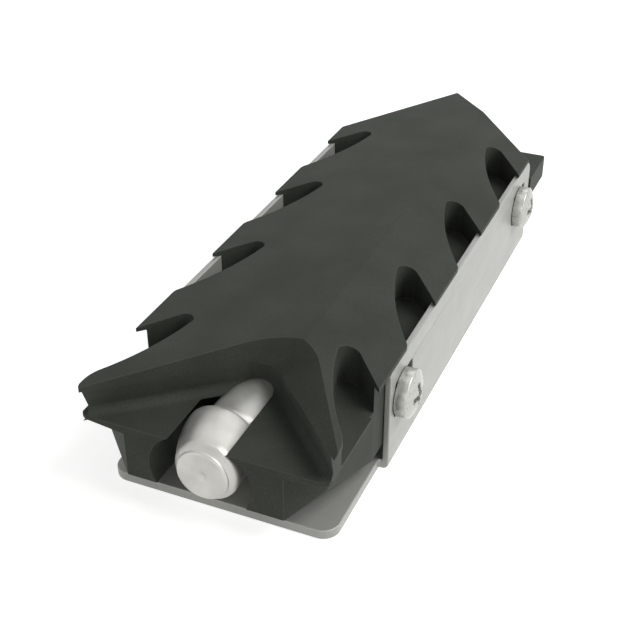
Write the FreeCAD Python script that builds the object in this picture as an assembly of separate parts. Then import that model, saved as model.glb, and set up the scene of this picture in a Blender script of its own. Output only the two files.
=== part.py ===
import FreeCAD, Part
import math
import os

from FreeCAD import Vector

# SSD heat sink. Millimetres. Origin: middle of the tray's underside.
# +X: side of the flange nearest the viewer, +Y: rear, +Z: up.

# Clearances and travel
SIDE_GAP = 0.05
LIP_GAP = 0.05
WING_GAP = 3.3
STEP_GAP = 0.4
WASHER_GAP = 0.05
PIPE_GAP = 0.04
SLOT_GAP = 0.65
SLOT_END_GAP = 0.25
SLIDE_FORWARD = 0.3
SLIDE_REARWARD = 1.5
CARD_GAP = 1.85

# Sheet tray
TRAY_LEN = 67.4
PLATE_T = 1.0
TONGUE_STEP = 0.9
TONGUE_CORNER_R = 1.6
FLANGE_T = 0.6
FLANGE_FRONT_INSET = 11.1
FLANGE_BACK_INSET = 7.7
FLANGE_BEND_R = 0.6
FLANGE_NOSE_DROP = 0.5
FLANGE_NOSE_RUN = 0.6
FLANGE_TAIL_R = 1.6
SLOT_CORNER_R = 0.4

# Machined block: widths
BLOCK_HALF_W = 11.45
LIP_OVERHANG = 0.05
LEDGE_LEFT_OVERHANG = 0.35
LEDGE_RIGHT_OVERHANG = 0.15
REAR_STEP_OVERHANG = 0.15

# Machined block: heights
BLOCK_H = 5.45
LEDGE_TIP_T = 0.3
LEDGE_ROOT_T = 0.85
LEDGE_ROOT_X = 7.9
LEDGE_CORNER_R = 0.8
UNDERCUT_H = 2.85
ROOF_EDGE_T = 0.45
RIDGE_X = 4.5
RIDGE_RISE = 2.55
REAR_STEP_T = 2.7
REAR_STEP_R = 0.4

# Machined block: lengths past the tray
NOSE_OVERHANG = 1.9
LEDGE_BACK_INSET = 0.2

# Lower block in plan: nose, flared facet, long facet, keel chamfer
NOSE_SHIFT = -0.3
NOSE_HALF_W = 7.7
FLARE_STEP = 0.7
FLARE_RUN = 2.4
LONG_FACET_RUN = 10.6
KEEL_SIDE_RUN = 10.3
KEEL_RUN_X = 2.2
KEEL_RISE = 3.0

# Chevron notch at the front of the roof
NOTCH_X = 1.5
NOTCH_DEPTH = 10.8
NOTCH_R = 2.5
NOTCH_R_GROWTH = 1.25
NOTCH_SWEEP_X = 0.875
NOTCH_SWEEP_Y = 0.824
NOTCH_HIGH = 4.5
UNDERCUT_X = -0.17
UNDERCUT_Y = 0.86
UNDERCUT_FOOT_R = 0.8
TIP_LEFT_REACH = 0.8
TIP_RIGHT_REACH = 0.3
TIP_R = 1.2

# Pointed rear of the roof
BEAK_X = -0.1
BEAK_OVERHANG = 4.8
SHOULDER_INSET = 13.5
BEAK_SWEEP_X = -0.402
BEAK_SWEEP_Y = -0.449

# Scallops in each long side
SCALLOPS = 4
SCALLOP_PITCH = 15.3
FIRST_TOOTH_INSET = 9.7
SCALLOP_DEPTH = 3.73
SCALLOP_ROOT_RUN = 2.3
SCALLOP_ROOT_R = 1.08
SCALLOP_MID_DEPTH = 2.9
SCALLOP_MID_RUN = 3.4
TIP_LEAD_RUN = 8.9
TIP_LEAD_ROUND_RUN = 1.7
TIP_LEAD_ROUND_DEPTH = 0.5
LEAD_RUN = 8.3
LEAD_ROUND_RUN = 0.5
LEAD_ROUND_DEPTH = 0.12
SHANK_COVER = 0.8
FIRST_FLOOR_CUT = 0.02

# Pipe with its swaged end plug
PIPE_R = 3.1
PIPE_DROP = 2.43
PIPE_BACK_INSET = 6.5
PLUG_REACH = 0.73
PLUG_TIP_STEP = 0.6
PLUG_SHOULDER_STEP = 0.22
PLUG_SHOULDER_RUN = 0.4
PLUG_SWELL = 0.5
PLUG_LEN = 5.5
PLUG_LIP_RUN = 0.35
PLUG_SHIFT = -0.65
PIPE_DIMPLE_R = 0.5
PIPE_DIMPLE_DEPTH = 0.3

# Channel for the pipe, widths measured out from the pipe's surface
SLOT_LEFT_ROOM = 0.47
SLOT_RIGHT_ROOM = -1.0
BELLY_LEFT_ROOM = 2.5
BELLY_RIGHT_ROOM = 1.4
FOOT_LEFT_ROOM = 1.9
FOOT_RIGHT_ROOM = 0.65
SHOULDER_RIGHT_ROOM = -0.2
SHOULDER_DROP = 0.4
BELLY_DROP = 0.37
CHANNEL_END_GAP = 0.5

# Side screws
SCREW_FRONT_INSET = 3.0
SCREW_BACK_INSET = 5.2
SCREW_DROP = 1.15
SCREW_R = 1.25
SCREW_BITE = 3.85
SCREW_TIP = 0.3
HEAD_OVERHANG = 1.15
HEAD_T = 1.8
HEAD_EDGE_T = 1.15
RECESS_W = 0.65
RECESS_ARM = 1.3
RECESS_DEPTH = 1.0

# Places that follow from the sizes
TRAY_FRONT = -TRAY_LEN / 2
TRAY_BACK = TRAY_LEN / 2
FLANGE_FRONT = TRAY_FRONT + FLANGE_FRONT_INSET
FLANGE_BACK = TRAY_BACK - FLANGE_BACK_INSET
FLANGE_INNER_X = BLOCK_HALF_W + SIDE_GAP
FLANGE_OUTER_X = FLANGE_INNER_X + FLANGE_T
SINK_HALF_W = FLANGE_OUTER_X + LIP_OVERHANG
SINK_FRONT = TRAY_FRONT - NOSE_OVERHANG
LEDGE_BACK = TRAY_BACK - LEDGE_BACK_INSET
BEAK_Y = LEDGE_BACK + BEAK_OVERHANG
SINK_LOW = PLATE_T + CARD_GAP
LEDGE_TOP = SINK_LOW + BLOCK_H
LIP_LOW = LEDGE_TOP + UNDERCUT_H
FLANGE_TOP = LIP_LOW - LIP_GAP
ROOF_EDGE_Z = LIP_LOW + ROOF_EDGE_T
RIDGE_Z = ROOF_EDGE_Z + RIDGE_RISE
FIRST_TOOTH_Y = SINK_FRONT + FIRST_TOOTH_INSET
SCREW_YS = (FLANGE_FRONT + SCREW_FRONT_INSET, FLANGE_BACK - SCREW_BACK_INSET)
SCREW_Z = LEDGE_TOP - SCREW_DROP
SCREW_REACH_X = BLOCK_HALF_W - SCREW_BITE
SCALLOP_FLOOR = SCREW_Z + SCREW_R + SHANK_COVER
PIPE_Z = LEDGE_TOP - PIPE_DROP
PIPE_BACK = LEDGE_BACK - PIPE_BACK_INSET

FAR = 60.0


def v(x, y, z=0.0):
    return Vector(x, y, z)


def prism(points, sweep):
    """Polygon of 3-D points swept along a vector."""
    wire = Part.makePolygon(points + [points[0]])
    return Part.Face(wire).extrude(sweep)


def slab(points_xy, low, high):
    """Plan outline carried straight up from low to high."""
    return prism([v(x, y, low) for x, y in points_xy], v(0, 0, high - low))


def box(x0, x1, y0, y1, z0, z1):
    return Part.makeBox(x1 - x0, y1 - y0, z1 - z0, v(x0, y0, z0))


def mirror_x(shape):
    return shape.mirror(v(0, 0, 0), v(1, 0, 0))


def both_sides(shape):
    return [shape, mirror_x(shape)]


def rounded_corner_points(before, corner, after, radius, steps=8):
    """Points of a fillet arc that replaces one corner of a plan outline."""
    a = v(before[0] - corner[0], before[1] - corner[1])
    b = v(after[0] - corner[0], after[1] - corner[1])
    a.normalize()
    b.normalize()
    half = a.getAngle(b) / 2
    mid = a + b
    mid.normalize()
    centre = v(corner[0], corner[1]) + mid * (radius / math.sin(half))
    reach = radius / math.tan(half)
    start = v(corner[0], corner[1]) + a * reach - centre
    end = v(corner[0], corner[1]) + b * reach - centre
    a0 = math.atan2(start.y, start.x)
    a1 = math.atan2(end.y, end.x)
    turn = (a1 - a0 + math.pi) % (2 * math.pi) - math.pi
    points = []
    for i in range(steps + 1):
        angle = a0 + turn * i / steps
        points.append((centre.x + radius * math.cos(angle), centre.y + radius * math.sin(angle)))
    return points


def arc_edge(centre, radius, a0, a1):
    mid = (a0 + a1) / 2
    ends = []
    for angle in (a0, mid, a1):
        ends.append(v(centre[0] + radius * math.cos(angle), centre[1] + radius * math.sin(angle)))
    return Part.Arc(ends[0], ends[1], ends[2]).toShape(), ends[0], ends[2]


def notch_wire(z, radius):
    """Region ahead of the chevron: two straight arms that meet in a round vertex."""
    left = v(-SINK_HALF_W, SINK_FRONT - TIP_LEFT_REACH, z)
    right = v(SINK_HALF_W, SINK_FRONT - TIP_RIGHT_REACH, z)
    tip = v(NOTCH_X, SINK_FRONT + NOTCH_DEPTH, z)
    a = left - tip
    b = right - tip
    far_left = tip + a * 2.2
    far_right = tip + b * 2.2
    a.normalize()
    b.normalize()
    half = a.getAngle(b) / 2
    mid = a + b
    mid.normalize()
    centre = tip + mid * (radius / math.sin(half))
    reach = radius / math.tan(half)
    p = tip + a * reach
    q = tip + b * reach
    arc = Part.Arc(p, centre - mid * radius, q).toShape()
    edges = [
        Part.makeLine(far_left, p),
        arc,
        Part.makeLine(q, far_right),
        Part.makeLine(far_right, far_left),
    ]
    return Part.Wire(edges)


def notch():
    """Front cut: leans back with a widening vertex above the lip, undercut below it."""
    low = notch_wire(LIP_LOW, NOTCH_R)
    high = notch_wire(LIP_LOW + NOTCH_HIGH, NOTCH_R + NOTCH_R_GROWTH * NOTCH_HIGH)
    high.translate(v(NOTCH_SWEEP_X * NOTCH_HIGH, NOTCH_SWEEP_Y * NOTCH_HIGH, 0))
    upper = Part.makeLoft([low, high], True, True)
    lower = Part.Face(low).extrude(v(UNDERCUT_X, UNDERCUT_Y, -UNDERCUT_H))
    foot = []
    for edge in lower.Edges:
        heights = [vertex.Z for vertex in edge.Vertexes]
        reach = max(vertex.Y for vertex in edge.Vertexes)
        if max(heights) < LEDGE_TOP + 1e-6 and reach > SINK_FRONT + NOTCH_DEPTH / 2:
            foot.append(edge)
    return upper.fuse(lower.makeFillet(UNDERCUT_FOOT_R, foot))


def beak_keep():
    """Rear envelope: leans forward above the lip, undercut below it."""
    tip = v(BEAK_X, BEAK_Y, LIP_LOW)
    shoulder_y = BEAK_Y - SHOULDER_INSET
    out_left = tip + (v(-SINK_HALF_W, shoulder_y, LIP_LOW) - tip) * 1.3
    out_right = tip + (v(SINK_HALF_W, shoulder_y, LIP_LOW) - tip) * 1.3
    front_left = v(out_left.x, -FAR, LIP_LOW)
    front_right = v(out_right.x, -FAR, LIP_LOW)
    points = [tip, out_left, front_left, front_right, out_right]
    rise = 2 * RIDGE_RISE
    upper = prism(points, v(BEAK_SWEEP_X * rise, BEAK_SWEEP_Y * rise, rise))
    lower = prism(points, v(-UNDERCUT_X, -UNDERCUT_Y, -UNDERCUT_H - 0.2))
    return upper.fuse(lower)


def scallop(index):
    """One hooked scallop on the +X side, as a tall cutter with a sloping floor."""
    tooth = v(SINK_HALF_W, FIRST_TOOTH_Y + SCALLOP_PITCH * index)
    cx = SINK_HALF_W - SCALLOP_DEPTH
    cy = tooth.y + SCALLOP_ROOT_RUN
    to_tooth = tooth - v(cx, cy)
    span = to_tooth.Length
    lean = math.atan2(to_tooth.y, to_tooth.x)
    contact = lean + math.acos(SCALLOP_ROOT_R / span)
    arc, a_start, a_end = arc_edge((cx, cy), SCALLOP_ROOT_R, contact, math.radians(200))
    out_dir = tooth - a_start
    out_dir.normalize()
    past_tooth = tooth + out_dir * 3.0
    lead_run, round_run, round_depth = LEAD_RUN, LEAD_ROUND_RUN, LEAD_ROUND_DEPTH
    if index == 0:
        lead_run, round_run, round_depth = TIP_LEAD_RUN, TIP_LEAD_ROUND_RUN, TIP_LEAD_ROUND_DEPTH
    lead = v(SINK_HALF_W, tooth.y - lead_run)
    turn = v(SINK_HALF_W - round_depth, lead.y + round_run)
    mid = v(SINK_HALF_W - SCALLOP_MID_DEPTH, tooth.y - SCALLOP_MID_RUN)
    lead_r = (round_run ** 2 + round_depth ** 2) / (2 * round_depth)
    half_turn = math.asin(round_run / lead_r) / 2
    lead_mid = lead + v(lead_r * (math.cos(half_turn) - 1), lead_r * math.sin(half_turn))
    outer_x = past_tooth.x + 1.0
    edges = [
        arc,
        Part.Arc(a_end, mid, turn).toShape(),
        Part.Arc(turn, lead_mid, lead).toShape(),
        Part.makeLine(lead, v(outer_x, lead.y)),
        Part.makeLine(v(outer_x, lead.y), v(outer_x, past_tooth.y)),
        Part.makeLine(v(outer_x, past_tooth.y), past_tooth),
        Part.makeLine(past_tooth, a_start),
    ]
    plan = Part.Face(Part.Wire(Part.__sortEdges__(edges)))
    plan.translate(v(0, 0, LEDGE_TOP - 1.0))
    tall = plan.extrude(v(0, 0, RIDGE_Z))
    root_x = cx - SCALLOP_ROOT_R
    outer_z = SCALLOP_FLOOR if index else LEDGE_TOP - FIRST_FLOOR_CUT
    slope = (SCALLOP_FLOOR - outer_z) / (BLOCK_HALF_W - root_x)
    inner_x = root_x - 3.0
    roof = RIDGE_Z + 3.0
    section = [
        v(inner_x, -FAR, SCALLOP_FLOOR + slope * 3.0),
        v(BLOCK_HALF_W, -FAR, outer_z),
        v(SINK_HALF_W + 8.0, -FAR, outer_z),
        v(SINK_HALF_W + 8.0, -FAR, roof),
        v(inner_x, -FAR, roof),
    ]
    return tall.common(prism(section, v(0, 2 * FAR, 0)))


def keel_chamfer(sign):
    """Wedge below the front corner of the lower block."""
    foot_a = v(sign * NOSE_HALF_W + NOSE_SHIFT, SINK_FRONT, SINK_LOW)
    foot_b = v(sign * BLOCK_HALF_W, SINK_FRONT + KEEL_SIDE_RUN, SINK_LOW)
    along = foot_b - foot_a
    across = v(along.y, -along.x, 0)
    if across.x * sign < 0:
        across = across * -1
    across.normalize()
    start = foot_a - along * 0.6
    end = foot_b + along * 0.6
    out = across * (KEEL_RUN_X * 3) + v(0, 0, KEEL_RISE * 3)
    deep = v(0, 0, -BLOCK_H)
    return prism([start, start + out, start + out + deep * 2, start + deep], end - start)


def lower_block():
    """Block below the ledge, with flared and keel-chamfered ends."""
    flare_x = BLOCK_HALF_W - FLARE_STEP
    ahead = [
        (-BLOCK_HALF_W, SINK_FRONT + LONG_FACET_RUN),
        (-flare_x + NOSE_SHIFT, SINK_FRONT + FLARE_RUN),
        (-NOSE_HALF_W + NOSE_SHIFT, SINK_FRONT),
        (NOSE_HALF_W + NOSE_SHIFT, SINK_FRONT),
        (flare_x + NOSE_SHIFT, SINK_FRONT + FLARE_RUN),
        (BLOCK_HALF_W, SINK_FRONT + LONG_FACET_RUN),
    ]
    plan = ahead + [(BLOCK_HALF_W, LEDGE_BACK), (-BLOCK_HALF_W, LEDGE_BACK)]
    block = slab(plan, SINK_LOW, LEDGE_TOP)
    keels = [keel_chamfer(1), keel_chamfer(-1)]
    mid_y = (LEDGE_BACK + SINK_FRONT) / 2
    rear_keels = [keel.mirror(v(0, mid_y, 0), v(0, 1, 0)) for keel in keels]
    return block.cut(keels + rear_keels)


def rounded_plan(corners, radius, low, high):
    """Prism over a rectangle whose corners are rounded."""
    outline = []
    count = len(corners)
    for i, corner in enumerate(corners):
        outline += rounded_corner_points(corners[i - 1], corner, corners[(i + 1) % count], radius)
    return slab(outline, low, high)


def ledge():
    """Thin plate ahead of the flanges with a sloping underside, and the thicker rear step."""
    left = -FLANGE_OUTER_X - LEDGE_LEFT_OVERHANG
    right = BLOCK_HALF_W + LEDGE_RIGHT_OVERHANG
    section = [
        v(left, SINK_FRONT, LEDGE_TOP),
        v(left, SINK_FRONT, LEDGE_TOP - LEDGE_TIP_T),
        v(-LEDGE_ROOT_X, SINK_FRONT, LEDGE_TOP - LEDGE_ROOT_T),
        v(LEDGE_ROOT_X, SINK_FRONT, LEDGE_TOP - LEDGE_ROOT_T),
        v(right, SINK_FRONT, LEDGE_TOP - LEDGE_TIP_T),
        v(right, SINK_FRONT, LEDGE_TOP),
    ]
    wing_back = FLANGE_FRONT - WING_GAP
    wing = prism(section, v(0, wing_back - SINK_FRONT, 0))
    wing_plan = [(left, SINK_FRONT), (right, SINK_FRONT), (right, LEDGE_BACK), (left, LEDGE_BACK)]
    wing = wing.common(rounded_plan(wing_plan, LEDGE_CORNER_R, 0, LEDGE_TOP))
    side = FLANGE_OUTER_X + REAR_STEP_OVERHANG
    step_plan = [(-side, SINK_FRONT), (side, SINK_FRONT), (side, LEDGE_BACK), (-side, LEDGE_BACK)]
    step = rounded_plan(step_plan, REAR_STEP_R, LEDGE_TOP - REAR_STEP_T, LEDGE_TOP)
    return wing, step.common(box(-FAR, FAR, FLANGE_BACK + STEP_GAP, FAR, 0, FAR))


def upper_block():
    """Body between ledge and roof, then the roof with its lip and ridge."""
    front = SINK_FRONT - TIP_LEFT_REACH
    section = [
        v(-BLOCK_HALF_W, front, LEDGE_TOP),
        v(BLOCK_HALF_W, front, LEDGE_TOP),
        v(BLOCK_HALF_W, front, LIP_LOW),
        v(SINK_HALF_W, front, LIP_LOW),
        v(SINK_HALF_W, front, ROOF_EDGE_Z),
        v(RIDGE_X, front, RIDGE_Z),
        v(-SINK_HALF_W, front, ROOF_EDGE_Z),
        v(-SINK_HALF_W, front, LIP_LOW),
        v(-BLOCK_HALF_W, front, LIP_LOW),
    ]
    bar = prism(section, v(0, BEAK_Y + 2 - front, 0))
    side = BLOCK_HALF_W + LEDGE_RIGHT_OVERHANG
    tips = box(-side, side, front, FIRST_TOOTH_Y, LEDGE_TOP, LIP_LOW)
    body = bar.fuse(tips).cut(notch())
    plan = [
        (-SINK_HALF_W, front),
        (SINK_HALF_W, front),
        (SINK_HALF_W, FAR),
        (-SINK_HALF_W, FAR),
    ]
    body = body.common(rounded_plan(plan, TIP_R, 0, FAR))
    return body.common(beak_keep())


def channel():
    """Open channel below the ledge and slot through it, in one section along the pipe."""
    belly_z = PIPE_Z - BELLY_DROP
    slot_left = v(-PIPE_R - SLOT_LEFT_ROOM, 0, LEDGE_TOP)
    belly_left = v(-PIPE_R - BELLY_LEFT_ROOM, 0, belly_z)
    foot_left = v(-PIPE_R - FOOT_LEFT_ROOM, 0, SINK_LOW)
    foot_right = v(PIPE_R + FOOT_RIGHT_ROOM, 0, SINK_LOW)
    belly_right = v(PIPE_R + BELLY_RIGHT_ROOM, 0, belly_z)
    shoulder = v(PIPE_R + SHOULDER_RIGHT_ROOM, 0, LEDGE_TOP - SHOULDER_DROP)
    slot_right = v(PIPE_R + SLOT_RIGHT_ROOM, 0, LEDGE_TOP)
    under_left = v(foot_left.x, 0, 0)
    under_right = v(foot_right.x, 0, 0)
    edges = [
        Part.Arc(slot_left, belly_left, foot_left).toShape(),
        Part.makeLine(foot_left, under_left),
        Part.makeLine(under_left, under_right),
        Part.makeLine(under_right, foot_right),
        Part.Arc(foot_right, belly_right, shoulder).toShape(),
        Part.makeLine(shoulder, slot_right),
        Part.makeLine(slot_right, slot_left),
    ]
    section = Part.Face(Part.Wire(edges))
    section.translate(v(0, SINK_FRONT - 2, 0))
    return section.extrude(v(0, PIPE_BACK + CHANNEL_END_GAP - SINK_FRONT + 2, 0))


def pipe_shape(spare, back):
    """Pipe and its swaged plug, with every surface moved out by the spare width."""
    front = SINK_FRONT - PLUG_REACH
    seam = front + PLUG_LEN
    tube = Part.makeCylinder(PIPE_R + spare, back - seam + 1, v(0, seam - 1, PIPE_Z), v(0, 1, 0))
    swell = PLUG_SWELL + spare
    shoulder = spare - PLUG_SHOULDER_STEP
    shoulder_y = front + PLUG_SHOULDER_RUN
    rings = [
        (front - spare, 0, spare - PLUG_TIP_STEP),
        (shoulder_y, 0, shoulder),
        ((shoulder_y + seam) / 2, PLUG_SHIFT * 0.6, shoulder + (swell - shoulder) * 0.7),
        (seam - PLUG_LIP_RUN, PLUG_SHIFT, swell),
        (seam + spare, PLUG_SHIFT, swell - PLUG_LIP_RUN / 2),
    ]
    wires = []
    for y, shift, growth in rings:
        circle = Part.makeCircle(PIPE_R + growth, v(shift, y, PIPE_Z), v(0, 1, 0))
        wires.append(Part.Wire(circle))
    return tube.fuse(Part.makeLoft(wires, True, True))


def screw(y, sign):
    """Pan-head screw with a cross recess, axis along X."""
    head_base = FLANGE_OUTER_X + WASHER_GAP
    head_r = SCREW_R + HEAD_OVERHANG
    dome = HEAD_T - HEAD_EDGE_T
    dome_r = (head_r * head_r + dome * dome) / (2 * dome)
    top = v(head_base + HEAD_T, 0)
    rim = v(head_base + HEAD_EDGE_T, head_r)
    mid_angle = math.asin(head_r / dome_r) / 2
    mid = v(head_base + HEAD_T - dome_r + dome_r * math.cos(mid_angle), dome_r * math.sin(mid_angle))
    profile = [
        Part.makeLine(v(SCREW_REACH_X, 0), v(SCREW_REACH_X, SCREW_R - SCREW_TIP)),
        Part.makeLine(v(SCREW_REACH_X, SCREW_R - SCREW_TIP), v(SCREW_REACH_X + SCREW_TIP, SCREW_R)),
        Part.makeLine(v(SCREW_REACH_X + SCREW_TIP, SCREW_R), v(head_base, SCREW_R)),
        Part.makeLine(v(head_base, SCREW_R), v(head_base, head_r)),
        Part.makeLine(v(head_base, head_r), rim),
        Part.Arc(rim, mid, top).toShape(),
        Part.makeLine(top, v(SCREW_REACH_X, 0)),
    ]
    solid = Part.Face(Part.Wire(profile)).revolve(v(0, 0, 0), v(1, 0, 0), 360)
    floor = head_base + HEAD_T - RECESS_DEPTH
    upright = box(floor, floor + 3, -RECESS_W / 2, RECESS_W / 2, -RECESS_ARM, RECESS_ARM)
    level = box(floor, floor + 3, -RECESS_ARM, RECESS_ARM, -RECESS_W / 2, RECESS_W / 2)
    solid = solid.cut(upright.fuse(level))
    solid.translate(v(0, y, SCREW_Z))
    if sign < 0:
        solid = mirror_x(solid)
    return solid


def screw_hole(y):
    """Blind hole that seats one shank, cone at its end, axis along X."""
    tip = Part.makeCone(SCREW_R - SCREW_TIP, SCREW_R, SCREW_TIP, v(SCREW_REACH_X, y, SCREW_Z), v(1, 0, 0))
    start = SCREW_REACH_X + SCREW_TIP
    return tip.fuse(Part.makeCylinder(SCREW_R, FAR, v(start, y, SCREW_Z), v(1, 0, 0)))


def sink_body():
    wing, step = ledge()
    body = lower_block().fuse([wing, step, upper_block()])
    cutters = []
    for i in range(SCALLOPS):
        cutters += both_sides(scallop(i))
    body = body.cut(cutters)
    body = body.cut(channel())
    body = body.cut(pipe_shape(PIPE_GAP, PIPE_BACK + CHANNEL_END_GAP))
    holes = []
    for y in SCREW_YS:
        holes += both_sides(screw_hole(y))
    return body.cut(holes).removeSplitter()


def heat_pipe():
    pipe = pipe_shape(0, PIPE_BACK)
    front = SINK_FRONT - PLUG_REACH
    dimple = Part.makeCone(PIPE_DIMPLE_R, 0.1, PIPE_DIMPLE_DEPTH, v(0, front, PIPE_Z), v(0, 1, 0))
    return pipe.cut(dimple)


def slot(y):
    """Level slot for one screw, with room for the travel along the tray."""
    half_h = SCREW_R + SLOT_GAP
    front = y - SCREW_R - SLOT_END_GAP - SLIDE_FORWARD
    back = y + SCREW_R + SLOT_END_GAP + SLIDE_REARWARD
    corners = [
        (front, SCREW_Z - half_h),
        (back, SCREW_Z - half_h),
        (back, SCREW_Z + half_h),
        (front, SCREW_Z + half_h),
    ]
    outline = []
    for i, corner in enumerate(corners):
        outline += rounded_corner_points(corners[i - 1], corner, corners[(i + 1) % 4], SLOT_CORNER_R)
    x = FLANGE_INNER_X - 1
    return prism([v(x, p, q) for p, q in outline], v(FLANGE_T + 2, 0, 0))


def tray():
    """One bent sheet: plate with its tongue, two slotted flanges."""
    half = FLANGE_OUTER_X - TONGUE_STEP
    corners = [(-half, TRAY_FRONT), (half, TRAY_FRONT), (half, TRAY_BACK), (-half, TRAY_BACK)]
    plate = rounded_plan(corners, TONGUE_CORNER_R, 0, PLATE_T)
    width = box(-FLANGE_OUTER_X, FLANGE_OUTER_X, FLANGE_FRONT, FLANGE_BACK, 0, PLATE_T)
    side = [
        v(FLANGE_INNER_X, FLANGE_FRONT, 0),
        v(FLANGE_INNER_X, FLANGE_BACK, 0),
        v(FLANGE_INNER_X, FLANGE_BACK, FLANGE_TOP),
        v(FLANGE_INNER_X, FLANGE_FRONT + FLANGE_NOSE_RUN, FLANGE_TOP),
        v(FLANGE_INNER_X, FLANGE_FRONT, FLANGE_TOP - FLANGE_NOSE_DROP),
    ]
    flange = prism(side, v(FLANGE_T, 0, 0))
    tail = []
    for edge in flange.Edges:
        middle = edge.CenterOfMass
        if abs(edge.Length - FLANGE_T) < 1e-6 and middle.y > FLANGE_BACK - 0.01 and middle.z > PLATE_T:
            tail.append(edge)
    flange = flange.makeFillet(FLANGE_TAIL_R, tail)
    slots = []
    for y in SCREW_YS:
        slots.append(slot(y))
    flange = flange.cut(slots)
    sheet = plate.fuse([width] + both_sides(flange)).removeSplitter()
    bends = []
    for edge in sheet.Edges:
        middle = edge.CenterOfMass
        at_corner = abs(middle.z) < 1e-6 and abs(abs(middle.x) - FLANGE_OUTER_X) < 1e-6
        if at_corner and edge.Length > FLANGE_NOSE_RUN:
            bends.append(edge)
    return sheet.makeFillet(FLANGE_BEND_R, bends)


def main():
    os.makedirs("parts", exist_ok=True)
    screws = []
    for y in SCREW_YS:
        for sign in (1, -1):
            screws.append(screw(y, sign))
    shapes = {
        "sink_body": sink_body(),
        "heat_pipe": heat_pipe(),
        "base_tray": tray(),
        "side_screws": Part.makeCompound(screws),
    }
    for name, shape in shapes.items():
        shape.exportStep("parts/" + name + ".step")


main()
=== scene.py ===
"""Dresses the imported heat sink: black block, plated pipe, sheet tray and side screws.

A plain white studio stands round it. Lengths are in metres.
"""

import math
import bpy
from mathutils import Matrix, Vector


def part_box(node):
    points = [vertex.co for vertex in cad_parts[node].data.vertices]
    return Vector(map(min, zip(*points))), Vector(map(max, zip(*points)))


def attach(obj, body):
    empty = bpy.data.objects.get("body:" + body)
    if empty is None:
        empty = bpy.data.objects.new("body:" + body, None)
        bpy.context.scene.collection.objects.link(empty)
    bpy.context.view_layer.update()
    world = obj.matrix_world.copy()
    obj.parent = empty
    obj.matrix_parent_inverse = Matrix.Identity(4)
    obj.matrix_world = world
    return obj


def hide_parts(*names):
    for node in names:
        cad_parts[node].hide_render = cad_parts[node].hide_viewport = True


bl_info = {
    "name": "Heat Sink Dresser",
    "version": (1, 0, 0),
    "blender": (4, 5, 0),
    "location": "View3D > Sidebar > Heat Sink",
    "description": "Finishes the pieces of a storage card's heat sink in a plain studio",
    "category": "Add Mesh",
}

import bmesh
import bpy
from bpy.props import FloatProperty, PointerProperty, StringProperty
from mathutils import Matrix, Vector

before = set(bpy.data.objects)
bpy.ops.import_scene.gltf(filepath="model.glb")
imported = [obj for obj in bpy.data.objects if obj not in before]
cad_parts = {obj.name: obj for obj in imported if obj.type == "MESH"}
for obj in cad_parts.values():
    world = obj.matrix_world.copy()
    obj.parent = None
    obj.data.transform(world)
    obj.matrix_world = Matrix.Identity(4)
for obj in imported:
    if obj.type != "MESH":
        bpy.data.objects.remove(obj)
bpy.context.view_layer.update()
MM = 0.001

# The front scallops' floors lie 0.02 mm under the ledge. Merging at 0.03 mm closes that
# step, which the broken edges would tear open.
BLOCK_MERGE = 0.03 * MM
NODE_MERGE = 0.004 * MM
FLAT_ANGLE = math.radians(0.6)

# Plug of the heat pipe. Places along it are counted from its flat end.
DIMPLE_PROFILE = ((0.26 * MM, 0.25), (0.06 * MM, 0.8), (0, 1.25))
DISC_EDGE_R = 0.3 * MM
DISC_GROWTH = 0.28 * MM
NECK_END = 1.1 * MM
NECK_CURVE = 1.6
SWELL_CURVE = 1.7
LIP_RUN = 0.4 * MM
LIP_DROP = 0.2 * MM
SHOULDER_RUN = 0.9 * MM
TAIL_CHAMFER = 0.3 * MM
PIPE_CREASE = math.radians(35)

FLOOR_HALF_WIDTH = 1.5
# A hair below the tray, so that the two faces don't flicker through each other from below.
FLOOR_DROP = 0.01 * MM
FLOOR_LIFT = 0.75

# Each lamp's place, and the setting that holds its power.
LAMPS = {
    "key_softbox": ((0.3, 0.06, 0.36), "key_power"),
    "overhead_softbox": ((0, 0, 0.5), "top_power"),
    "right_softbox": ((0.42, -0.1, 0.2), "side_power"),
    "front_softbox": ((0.1, -0.5, 0.15), "fill_power"),
    "left_softbox": ((-0.3, -0.42, 0.06), "left_power"),
    "rim_softbox": ((0, 0.4, 0.4), "rim_power"),
}
LAMP_WIDTH = 0.3
LAMP_AIM = (0, 0, 0.006)

CAMERA_PLACE = (0.039214, -0.10165, 0.070893)
CAMERA_AZIMUTH = math.radians(23.302)
CAMERA_ELEVATION = math.radians(33.001)


def linear(hex_colour):
    """Linear RGBA from an sRGB hex value such as '#3a3b39'."""
    channels = []
    for i in (1, 3, 5):
        c = int(hex_colour[i : i + 2], 16) / 255
        channels.append(c / 12.92 if c <= 0.04045 else ((c + 0.055) / 1.055) ** 2.4)
    return (*channels, 1.0)


def add_node(tree, kind, settings=None, links=None, stops=()):
    """Adds a node with its properties, sockets, (position, hex) colour stops and links.

    Each link gives an input and the (node, output) pair that feeds it.
    """
    node = tree.nodes.new(kind)
    for key, value in (settings or {}).items():
        if isinstance(key, str) and hasattr(node, key):
            setattr(node, key, value)
        else:
            node.inputs[key].default_value = value
    for i, (position, hex_colour) in enumerate(stops):
        node.color_ramp.elements[i].position = position
        node.color_ramp.elements[i].color = linear(hex_colour)
    for key, (source, output) in (links or {}).items():
        tree.links.new(source.outputs[output], node.inputs[key])
    return node


def fresh_material(name):
    material = bpy.data.materials.new(name)
    material.use_nodes = True
    tree = material.node_tree
    tree.nodes.clear()
    return material, tree


def finish_surface(tree, shader):
    add_node(tree, "ShaderNodeOutputMaterial", links={"Surface": (shader, "BSDF")})


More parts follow.
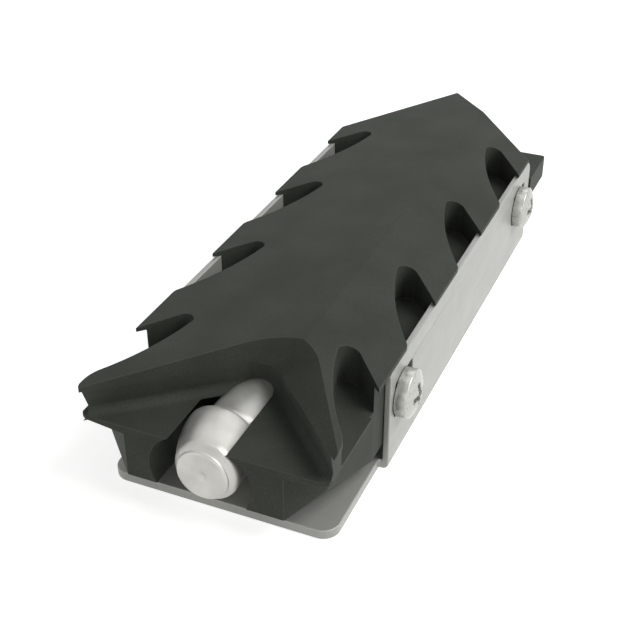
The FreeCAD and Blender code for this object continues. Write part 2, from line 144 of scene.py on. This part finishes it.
class BlockSettings(bpy.types.PropertyGroup):
    """Machined aluminium block."""

    edge: FloatProperty(
        name="Edge break",
        description="Width of the broken edges",
        default=0.05 * MM,
        unit="LENGTH",
    )
    colour: StringProperty(
        name="Anodise colour",
        description="Main colour, sRGB hex",
        default="#3a3d37",
    )
    colour_pale: StringProperty(
        name="Pale colour",
        description="Colour of the lighter flecks, sRGB hex",
        default="#4b4e48",
    )
    # Paler colour of the broken edges: handling wear, and a painted highlight along the edge lines.
    edge_and_highlight_colour: StringProperty(
        name="Edge and highlight colour",
        description="Colour of the broken edges, sRGB hex",
        default="#4f524c",
    )
    grit: FloatProperty(
        name="Blast grit",
        description="Size of one blasted dimple as drawn",
        default=0.16 * MM,
        unit="LENGTH",
    )


class PipeSettings(bpy.types.PropertyGroup):
    """Plated heat pipe."""

    radius: FloatProperty(
        name="Radius",
        description="Outer radius of the pipe",
        default=3.1 * MM,
        unit="LENGTH",
    )
    swell: FloatProperty(
        name="Swell",
        description="Growth of the radius at the plug's lip",
        default=0.5 * MM,
        unit="LENGTH",
    )
    tip_step: FloatProperty(
        name="Tip step",
        description="Narrowing at the flat end",
        default=0.85 * MM,
        unit="LENGTH",
    )
    shift: FloatProperty(
        name="Shift",
        description="Offset of the plug along X",
        default=-0.65 * MM,
        unit="LENGTH",
    )
    plug_length: FloatProperty(
        name="Plug length",
        description="Length of the plug from its flat end to the lip",
        default=5.5 * MM,
        unit="LENGTH",
    )
    dimple: FloatProperty(
        name="Dimple",
        description="Radius of the centre dimple",
        default=0.55 * MM,
        unit="LENGTH",
    )
    colour: StringProperty(
        name="Plating colour",
        description="Main colour, sRGB hex",
        default="#d8d7d2",
    )
    colour_dull: StringProperty(
        name="Dull colour",
        description="Colour of the duller patches, sRGB hex",
        default="#c2c1bb",
    )


class TraySettings(bpy.types.PropertyGroup):
    """Bent sheet tray."""

    edge: FloatProperty(
        name="Edge break",
        description="Width of the rolled sheet edges",
        default=0.12 * MM,
        unit="LENGTH",
    )
    colour: StringProperty(
        name="Sheet colour",
        description="Main colour, sRGB hex",
        default="#a8a9a4",
    )
    # Paler colour for the brighter patches and for the bevelled edges; on the edges it is sheared
    # metal and a painted highlight along the rolled border.
    edge_and_highlight_colour: StringProperty(
        name="Edge and highlight colour",
        description="Colour of the sheared edges and the brighter patches, sRGB hex",
        default="#b5b5b0",
    )


class ScrewSettings(bpy.types.PropertyGroup):
    """Side screws."""

    edge: FloatProperty(
        name="Edge break",
        description="Width of the rounded head edges",
        default=0.08 * MM,
        unit="LENGTH",
    )
    colour: StringProperty(
        name="Screw colour",
        description="Main colour, sRGB hex",
        default="#c2c2bd",
    )
    colour_dull: StringProperty(
        name="Dull colour",
        description="Colour of the scuffs, sRGB hex",
        default="#b4b4af",
    )


class StudioSettings(bpy.types.PropertyGroup):
    """Floor, lights and camera."""

    key_power: FloatProperty(
        name="Key power",
        description="Power of the high lamp at the right",
        default=1.2,
        unit="POWER",
    )
    top_power: FloatProperty(
        name="Top power",
        description="Power of the overhead lamp",
        default=0.12,
        unit="POWER",
    )
    side_power: FloatProperty(
        name="Side power",
        description="Power of the low lamp at the right",
        default=0.36,
        unit="POWER",
    )
    fill_power: FloatProperty(
        name="Fill power",
        description="Power of the front lamp",
        default=0.32,
        unit="POWER",
    )
    left_power: FloatProperty(
        name="Left power",
        description="Power of the lamp at the front left",
        default=0.3,
        unit="POWER",
    )
    rim_power: FloatProperty(
        name="Rim power",
        description="Power of the lamp behind",
        default=0.2,
        unit="POWER",
    )
    ambient: FloatProperty(
        name="Ambient",
        description="Strength of the plain surrounding light",
        default=0.14,
    )
    lens: FloatProperty(
        name="Lens",
        description="Focal length",
        default=64.93,
        unit="CAMERA",
    )


def link_piece(name, mesh):
    piece = bpy.data.objects.new(name, mesh)
    bpy.context.scene.collection.objects.link(piece)
    return piece


def merged_copy(node, name, near=NODE_MERGE):
    """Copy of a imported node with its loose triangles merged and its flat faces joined."""
    mesh = bpy.data.meshes.new(name)
    bm = bmesh.new()
    bm.from_mesh(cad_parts[node].data)
    bmesh.ops.remove_doubles(bm, verts=bm.verts, dist=near)
    bmesh.ops.dissolve_limit(bm, angle_limit=FLAT_ANGLE, verts=bm.verts, edges=bm.edges)
    bm.to_mesh(mesh)
    bm.free()
    mesh.materials.clear()
    return link_piece(name, mesh)


def soften(piece, width, angle=28.0, segments=3, material=-1):
    """Breaks the edges with live modifiers and keeps the flats flat."""
    mesh = piece.data
    mesh.shade_smooth()
    mesh.set_sharp_from_angle(angle=math.radians(angle))
    bevel = piece.modifiers.new("Broken edges", "BEVEL")
    bevel.width = width
    bevel.segments = segments
    bevel.limit_method = "ANGLE"
    bevel.angle_limit = math.radians(angle)
    bevel.use_clamp_overlap = False
    bevel.profile = 0.5
    bevel.material = material
    bevel.miter_outer = "MITER_ARC"
    normals = piece.modifiers.new("Flat faces", "WEIGHTED_NORMAL")
    normals.keep_sharp = False
    normals.weight = 80


def ring_lofted(name, rings, steps=96):
    """Closed skin over circles that stand across Y, each given as (y, x shift, z, radius)."""
    bm = bmesh.new()
    loops = []
    for y, shift, z, radius in rings:
        loop = []
        for i in range(steps):
            turn = math.tau * i / steps
            point = (shift + radius * math.sin(turn), y, z + radius * math.cos(turn))
            loop.append(bm.verts.new(point))
        loops.append(loop)
    for near, far in zip(loops, loops[1:]):
        for i in range(steps):
            j = (i + 1) % steps
            bm.faces.new((near[i], near[j], far[j], far[i]))
    bm.faces.new(loops[0])
    bm.faces.new(loops[-1])
    bmesh.ops.recalc_face_normals(bm, faces=bm.faces)
    mesh = bpy.data.meshes.new(name)
    bm.to_mesh(mesh)
    bm.free()
    return link_piece(name, mesh)


def blasted_anodised_aluminium(settings):
    """Black anodised aluminium, bead blasted: dense grey-black, satin, with a fine even grain."""
    material, tree = fresh_material("Blasted black anodised aluminium")
    place = add_node(tree, "ShaderNodeTexCoord")
    # Blasted dimples are near 0.08 mm; they are drawn twice as coarse so that they show.
    grain = add_node(
        tree,
        "ShaderNodeTexNoise",
        {"Scale": 1 / settings.grit, "Detail": 2.0, "Roughness": 0.6},
        {"Vector": (place, "Object")},
    )
    # The dye takes unevenly over a few millimetres.
    dye_patch = 6 * MM
    cloud = add_node(
        tree,
        "ShaderNodeTexNoise",
        {"Scale": 1 / dye_patch, "Detail": 3.0},
        {"Vector": (place, "Object")},
    )
    both = add_node(
        tree,
        "ShaderNodeMath",
        {"operation": "MULTIPLY"},
        {0: (grain, "Fac"), 1: (cloud, "Fac")},
    )
    tint = add_node(
        tree,
        "ShaderNodeValToRGB",
        links={"Fac": (both, "Value")},
        stops=((0.12, settings.colour), (0.45, settings.colour_pale)),
    )
    gloss = add_node(
        tree,
        "ShaderNodeMapRange",
        {"From Min": 0.3, "From Max": 0.7, "To Min": 0.5, "To Max": 0.6},
        {"Value": (grain, "Fac")},
    )
    bump = add_node(
        tree,
        "ShaderNodeBump",
        {"Strength": 0.12, "Distance": 0.02 * MM},
        {"Height": (grain, "Fac")},
    )
    shader = add_node(
        tree,
        "ShaderNodeBsdfPrincipled",
        {"Metallic": 0.0, "IOR": 1.5, "Specular IOR Level": 0.09},
        {"Base Color": (tint, "Color"), "Roughness": (gloss, "Result"), "Normal": (bump, "Normal")},
    )
    finish_surface(tree, shader)
    return material


def anodised_edge_wear_and_highlight(settings):
    """The same aluminium on the broken edges, a shade paler and smoother: partly handling wear,
    partly a painted highlight along the edges.
    """
    material, tree = fresh_material("Rubbed anodised edge")
    place = add_node(tree, "ShaderNodeTexCoord")
    # Mottled paler tone over the broken edges: handling wear, and a painted highlight.
    rubbed_and_highlight_patch = 0.9 * MM
    wear_and_highlight = add_node(
        tree,
        "ShaderNodeTexNoise",
        {"Scale": 1 / rubbed_and_highlight_patch, "Detail": 4.0},
        {"Vector": (place, "Object")},
    )
    tint = add_node(
        tree,
        "ShaderNodeValToRGB",
        links={"Fac": (wear_and_highlight, "Fac")},
        stops=((0.35, settings.colour_pale), (0.75, settings.edge_and_highlight_colour)),
    )
    shader = add_node(
        tree,
        "ShaderNodeBsdfPrincipled",
        {"Metallic": 0.0, "Roughness": 0.5, "IOR": 1.5, "Specular IOR Level": 0.09},
        {"Base Color": (tint, "Color")},
    )
    finish_surface(tree, shader)
    return material


def plated_copper(settings):
    """Nickel-plated drawn copper tube, tumbled: bright, faintly warm, with soft drawn lines."""
    material, tree = fresh_material("Nickel-plated drawn copper")
    place = add_node(tree, "ShaderNodeTexCoord")
    # Drawing marks run along the tube.
    stretch = add_node(
        tree,
        "ShaderNodeMapping",
        {"Scale": (1, 0.04, 1)},
        {"Vector": (place, "Object")},
    )
    line_spacing = 0.25 * MM
    lines = add_node(
        tree,
        "ShaderNodeTexNoise",
        {"Scale": 1 / line_spacing, "Detail": 3.0},
        {"Vector": (stretch, "Vector")},
    )
    dull_patch = 2.5 * MM
    cloud = add_node(
        tree,
        "ShaderNodeTexNoise",
        {"Scale": 1 / dull_patch, "Detail": 2.0},
        {"Vector": (place, "Object")},
    )
    tint = add_node(
        tree,
        "ShaderNodeValToRGB",
        links={"Fac": (cloud, "Fac")},
        stops=((0.3, settings.colour_dull), (0.7, settings.colour)),
    )
    gloss = add_node(
        tree,
        "ShaderNodeMapRange",
        {"From Min": 0.3, "From Max": 0.7, "To Min": 0.3, "To Max": 0.46},
        {"Value": (cloud, "Fac")},
    )
    bump = add_node(
        tree,
        "ShaderNodeBump",
        {"Strength": 0.16, "Distance": 0.02 * MM},
        {"Height": (lines, "Fac")},
    )
    shader = add_node(
        tree,
        "ShaderNodeBsdfPrincipled",
        {"Metallic": 0.5},
        {"Base Color": (tint, "Color"), "Roughness": (gloss, "Result"), "Normal": (bump, "Normal")},
    )
    finish_surface(tree, shader)
    return material


def plated_sheet(settings, name, colour, low_gloss, high_gloss):
    """Nickel-plated cold-rolled steel sheet: satin grey-white with faint rolling lines."""
    material, tree = fresh_material(name)
    place = add_node(tree, "ShaderNodeTexCoord")
    # Rolling lines run along the tray.
    stretch = add_node(
        tree,
        "ShaderNodeMapping",
        {"Scale": (1, 0.02, 1)},
        {"Vector": (place, "Object")},
    )
    line_spacing = 0.2 * MM
    lines = add_node(
        tree,
        "ShaderNodeTexNoise",
        {"Scale": 1 / line_spacing, "Detail": 3.0},
        {"Vector": (stretch, "Vector")},
    )
    bright_patch = 5 * MM
    cloud = add_node(
        tree,
        "ShaderNodeTexNoise",
        {"Scale": 1 / bright_patch, "Detail": 3.0},
        {"Vector": (place, "Object")},
    )
    tint = add_node(
        tree,
        "ShaderNodeValToRGB",
        links={"Fac": (cloud, "Fac")},
        stops=((0.3, colour), (0.75, settings.edge_and_highlight_colour)),
    )
    gloss = add_node(
        tree,
        "ShaderNodeMapRange",
        {"From Min": 0.3, "From Max": 0.7, "To Min": low_gloss, "To Max": high_gloss},
        {"Value": (lines, "Fac")},
    )
    bump = add_node(
        tree,
        "ShaderNodeBump",
        {"Strength": 0.06, "Distance": 0.01 * MM},
        {"Height": (lines, "Fac")},
    )
    shader = add_node(
        tree,
        "ShaderNodeBsdfPrincipled",
        {"Metallic": 0.15},
        {"Base Color": (tint, "Color"), "Roughness": (gloss, "Result"), "Normal": (bump, "Normal")},
    )
    finish_surface(tree, shader)
    return material


def plated_screw_steel(settings):
    """Zinc-plated cold-headed screw steel: bright satin with small, soft handling scuffs."""
    material, tree = fresh_material("Zinc-plated screw steel")
    place = add_node(tree, "ShaderNodeTexCoord")
    scuff = 0.45 * MM
    scuffs = add_node(
        tree,
        "ShaderNodeTexNoise",
        {"Scale": 1 / scuff, "Detail": 5.0},
        {"Vector": (place, "Object")},
    )
    gloss = add_node(
        tree,
        "ShaderNodeMapRange",
        {"From Min": 0.35, "From Max": 0.7, "To Min": 0.26, "To Max": 0.34},
        {"Value": (scuffs, "Fac")},
    )
    tint = add_node(
        tree,
        "ShaderNodeValToRGB",
        links={"Fac": (scuffs, "Fac")},
        stops=((0.3, settings.colour_dull), (0.7, settings.colour)),
    )
    bump = add_node(
        tree,
        "ShaderNodeBump",
        {"Strength": 0.03, "Distance": 0.01 * MM},
        {"Height": (scuffs, "Fac")},
    )
    shader = add_node(
        tree,
        "ShaderNodeBsdfPrincipled",
        {"Metallic": 0.7},
        {"Base Color": (tint, "Color"), "Roughness": (gloss, "Result"), "Normal": (bump, "Normal")},
    )
    finish_surface(tree, shader)
    return material


class HEATSINK_OT_block(bpy.types.Operator):
    """Finish the machined black block with broken edges"""

    bl_idname = "heatsink.block"
    bl_label = "Machined block"

    def execute(self, context):
        settings = context.scene.heatsink_block
        block = merged_copy("sink_body", "machined_block", near=BLOCK_MERGE)
        block.data.materials.append(blasted_anodised_aluminium(settings))
        # The bevelled edges get the paler material: handling wear and a painted highlight along
        # them.
        block.data.materials.append(anodised_edge_wear_and_highlight(settings))
        soften(block, settings.edge, material=1)
        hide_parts("sink_body")
        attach(block, "sink")
        return {"FINISHED"}


def quarter_turns(steps, first=0):
    """Angles that divide a right angle into equal steps, ending with the right angle."""
    return [math.radians(90 * i / steps) for i in range(first, steps + 1)]


def shares(steps):
    """Equal shares of a run, ending with 1."""
    return [i / steps for i in range(1, steps + 1)]


def plug_rings(settings):
    """Dimple, rounded disc, neck, swelling, lip and shoulder, as (y, x shift, radius)."""
    radius, swell, shift = settings.radius, settings.swell, settings.shift
    tip = radius - settings.tip_step
    disc = tip + DISC_GROWTH
    lip = settings.plug_length
    rings = [(depth, 0, settings.dimple * share) for depth, share in DIMPLE_PROFILE]
    for turn in quarter_turns(6):
        along = DISC_EDGE_R * (1 - math.cos(turn))
        rings.append((along, 0, tip + (disc - tip) * math.sin(turn)))
    for t in shares(5):
        along = DISC_EDGE_R + (NECK_END - DISC_EDGE_R) * t
        rings.append((along, 0, disc + (radius - disc) * (1 - (1 - t) ** NECK_CURVE)))
    for t in shares(10):
        along = NECK_END + (lip - LIP_RUN - NECK_END) * t
        grown = 1 - (1 - t) ** SWELL_CURVE
        rings.append((along, shift * grown, radius + swell * grown))
    for turn in quarter_turns(5, first=1):
        along = lip - LIP_RUN * (1 - math.sin(turn))
        rings.append((along, shift, radius + swell - LIP_DROP * (1 - math.cos(turn))))
    for t in shares(8):
        left = 1 - t * t * (3 - 2 * t)
        rings.append((lip + SHOULDER_RUN * t, shift * left, radius + (swell - LIP_DROP) * left))
    return rings


class HEATSINK_OT_pipe(bpy.types.Operator):
    """Loft the plated pipe with its closed, dimpled end"""

    bl_idname = "heatsink.pipe"
    bl_label = "Heat pipe"

    def execute(self, context):
        settings = context.scene.heatsink_pipe
        low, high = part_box("heat_pipe")
        length = high.y - low.y
        rings = plug_rings(settings)
        rings.append((length - TAIL_CHAMFER, 0, settings.radius))
        rings.append((length, 0, settings.radius - TAIL_CHAMFER))
        # The plug's lip is the pipe's widest ring, so it touches the box's low side.
        z = low.z + settings.radius + settings.swell
        pipe = ring_lofted("plated_pipe", [(low.y + y, shift, z, r) for y, shift, r in rings])
        mesh = pipe.data
        mesh.shade_smooth()
        mesh.set_sharp_from_angle(angle=PIPE_CREASE)
        mesh.materials.append(plated_copper(settings))
        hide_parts("heat_pipe")
        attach(pipe, "sink")
        return {"FINISHED"}


class HEATSINK_OT_tray(bpy.types.Operator):
    """Finish the bent sheet tray with rolled edges"""

    bl_idname = "heatsink.tray"
    bl_label = "Sheet tray"

    def execute(self, context):
        settings = context.scene.heatsink_tray
        tray = merged_copy("base_tray", "sheet_tray")
        face = plated_sheet(settings, "Nickel-plated steel sheet", settings.colour, 0.3, 0.42)
        # The bevelled edges get the paler colour: sheared metal and a painted highlight along the
        # rolled border.
        edge = plated_sheet(settings, "Sheared sheet edge", settings.edge_and_highlight_colour, 0.3, 0.5)
        tray.data.materials.append(face)
        tray.data.materials.append(edge)
        soften(tray, settings.edge, material=1)
        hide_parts("base_tray")
        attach(tray, "tray")
        return {"FINISHED"}


class HEATSINK_OT_screws(bpy.types.Operator):
    """Finish the four side screws"""

    bl_idname = "heatsink.screws"
    bl_label = "Side screws"

    def execute(self, context):
        settings = context.scene.heatsink_screws
        screws = merged_copy("side_screws", "pan_head_screws")
        screws.data.materials.append(plated_screw_steel(settings))
        soften(screws, settings.edge, angle=35.0)
        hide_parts("side_screws")
        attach(screws, "sink")
        return {"FINISHED"}


def looked_at(tree):
    """Gives 1 to the rays that look at a surface, and 0 to those that carry light."""
    path = add_node(tree, "ShaderNodeLightPath")
    seen = add_node(
        tree,
        "ShaderNodeMath",
        {"operation": "MAXIMUM"},
        {0: (path, "Is Camera Ray"), 1: (path, "Is Glossy Ray")},
    )
    return add_node(
        tree,
        "ShaderNodeMath",
        {"operation": "MAXIMUM"},
        {0: (seen, "Value"), 1: (path, "Is Transmission Ray")},
    )


def studio_floor():
    """Matt white card: keeps the shadow, and reads as white to the camera and reflections."""
    material, tree = fresh_material("Matt white card")
    card = add_node(
        tree,
        "ShaderNodeBsdfPrincipled",
        {"Base Color": linear("#d9d9d7"), "Roughness": 0.9, "Specular IOR Level": 0.1},
    )
    lift = add_node(
        tree,
        "ShaderNodeMath",
        {"operation": "MULTIPLY", 1: FLOOR_LIFT},
        {0: (looked_at(tree), "Value")},
    )
    glow = add_node(
        tree,
        "ShaderNodeEmission",
        {"Color": (1, 1, 1, 1)},
        {"Strength": (lift, "Value")},
    )
    both = add_node(tree, "ShaderNodeAddShader", links={0: (card, "BSDF"), 1: (glow, "Emission")})
    add_node(tree, "ShaderNodeOutputMaterial", links={"Surface": (both, "Shader")})
    return material


def area_lamp(name, place, power):
    """Round softbox aimed at the middle of the sink."""
    data = bpy.data.lights.new(name, "AREA")
    data.shape = "DISK"
    data.size = LAMP_WIDTH
    data.energy = power
    lamp = bpy.data.objects.new(name, data)
    lamp.location = place
    lamp.rotation_euler = (Vector(LAMP_AIM) - Vector(place)).to_track_quat("-Z", "Y").to_euler()
    bpy.context.scene.collection.objects.link(lamp)


def white_world(ambient):
    """Dim, even surround that looks white."""
    world = bpy.data.worlds.new("Plain white surround")
    bpy.context.scene.world = world
    world.use_nodes = True
    tree = world.node_tree
    tree.nodes.clear()
    dim = add_node(tree, "ShaderNodeBackground", {"Color": (1, 1, 1, 1), "Strength": ambient})
    bright = add_node(tree, "ShaderNodeBackground", {"Color": (1, 1, 1, 1), "Strength": 1.0})
    mix = add_node(
        tree,
        "ShaderNodeMixShader",
        links={0: (looked_at(tree), "Value"), 1: (dim, "Background"), 2: (bright, "Background")},
    )
    add_node(tree, "ShaderNodeOutputWorld", links={"Surface": (mix, "Shader")})


def product_camera(lens):
    """Camera that looks at the sink from the front right, above."""
    data = bpy.data.cameras.new("product_camera")
    data.lens = lens
    data.sensor_width = 36.0
    data.clip_start = 0.005
    camera = bpy.data.objects.new("product_camera", data)
    level = math.cos(CAMERA_ELEVATION)
    back = Vector(
        (
            math.sin(CAMERA_AZIMUTH) * level,
            -math.cos(CAMERA_AZIMUTH) * level,
            math.sin(CAMERA_ELEVATION),
        )
    )
    camera.location = CAMERA_PLACE
    camera.rotation_euler = (-back).to_track_quat("-Z", "Y").to_euler()
    bpy.context.scene.collection.objects.link(camera)
    return camera


class HEATSINK_OT_studio(bpy.types.Operator):
    """Lay the pale floor and set the lamps and the camera"""

    bl_idname = "heatsink.studio"
    bl_label = "Studio"

    def execute(self, context):
        settings = context.scene.heatsink_studio
        bm = bmesh.new()
        under = Matrix.Translation((0, 0, -FLOOR_DROP))
        bmesh.ops.create_grid(
            bm, x_segments=1, y_segments=1, size=FLOOR_HALF_WIDTH, matrix=under
        )
        mesh = bpy.data.meshes.new("studio_floor")
        bm.to_mesh(mesh)
        bm.free()
        floor = link_piece("studio_floor", mesh)
        mesh.materials.append(studio_floor())
        white_world(settings.ambient)
        for name, (place, power) in LAMPS.items():
            area_lamp(name, place, getattr(settings, power))
        context.scene.camera = product_camera(settings.lens)
        context.scene.view_settings.view_transform = "Standard"
        return {"FINISHED"}


class HEATSINK_PT_panel(bpy.types.Panel):
    """Lists the heat sink's pieces in the 3D view's sidebar"""

    bl_idname = "HEATSINK_PT_panel"
    bl_label = "Heat Sink"
    bl_space_type = "VIEW_3D"
    bl_region_type = "UI"
    bl_category = "Heat Sink"

    def draw(self, context):
        for operator in OPERATORS:
            self.layout.operator(operator.bl_idname)


OPERATORS = (
    HEATSINK_OT_block,
    HEATSINK_OT_pipe,
    HEATSINK_OT_tray,
    HEATSINK_OT_screws,
    HEATSINK_OT_studio,
)
SETTINGS = {
    "heatsink_block": BlockSettings,
    "heatsink_pipe": PipeSettings,
    "heatsink_tray": TraySettings,
    "heatsink_screws": ScrewSettings,
    "heatsink_studio": StudioSettings,
}


def register():
    for cls in (*SETTINGS.values(), *OPERATORS, HEATSINK_PT_panel):
        bpy.utils.register_class(cls)
    for name, cls in SETTINGS.items():
        setattr(bpy.types.Scene, name, PointerProperty(type=cls))


def unregister():
    for name in SETTINGS:
        delattr(bpy.types.Scene, name)
    for cls in reversed((*SETTINGS.values(), *OPERATORS, HEATSINK_PT_panel)):
        bpy.utils.unregister_class(cls)


def main():
    register()
    bpy.ops.heatsink.block()
    bpy.ops.heatsink.pipe()
    bpy.ops.heatsink.tray()
    bpy.ops.heatsink.screws()
    bpy.ops.heatsink.studio()
    bpy.context.view_layer.update()


if __name__ == "__main__":
    main()
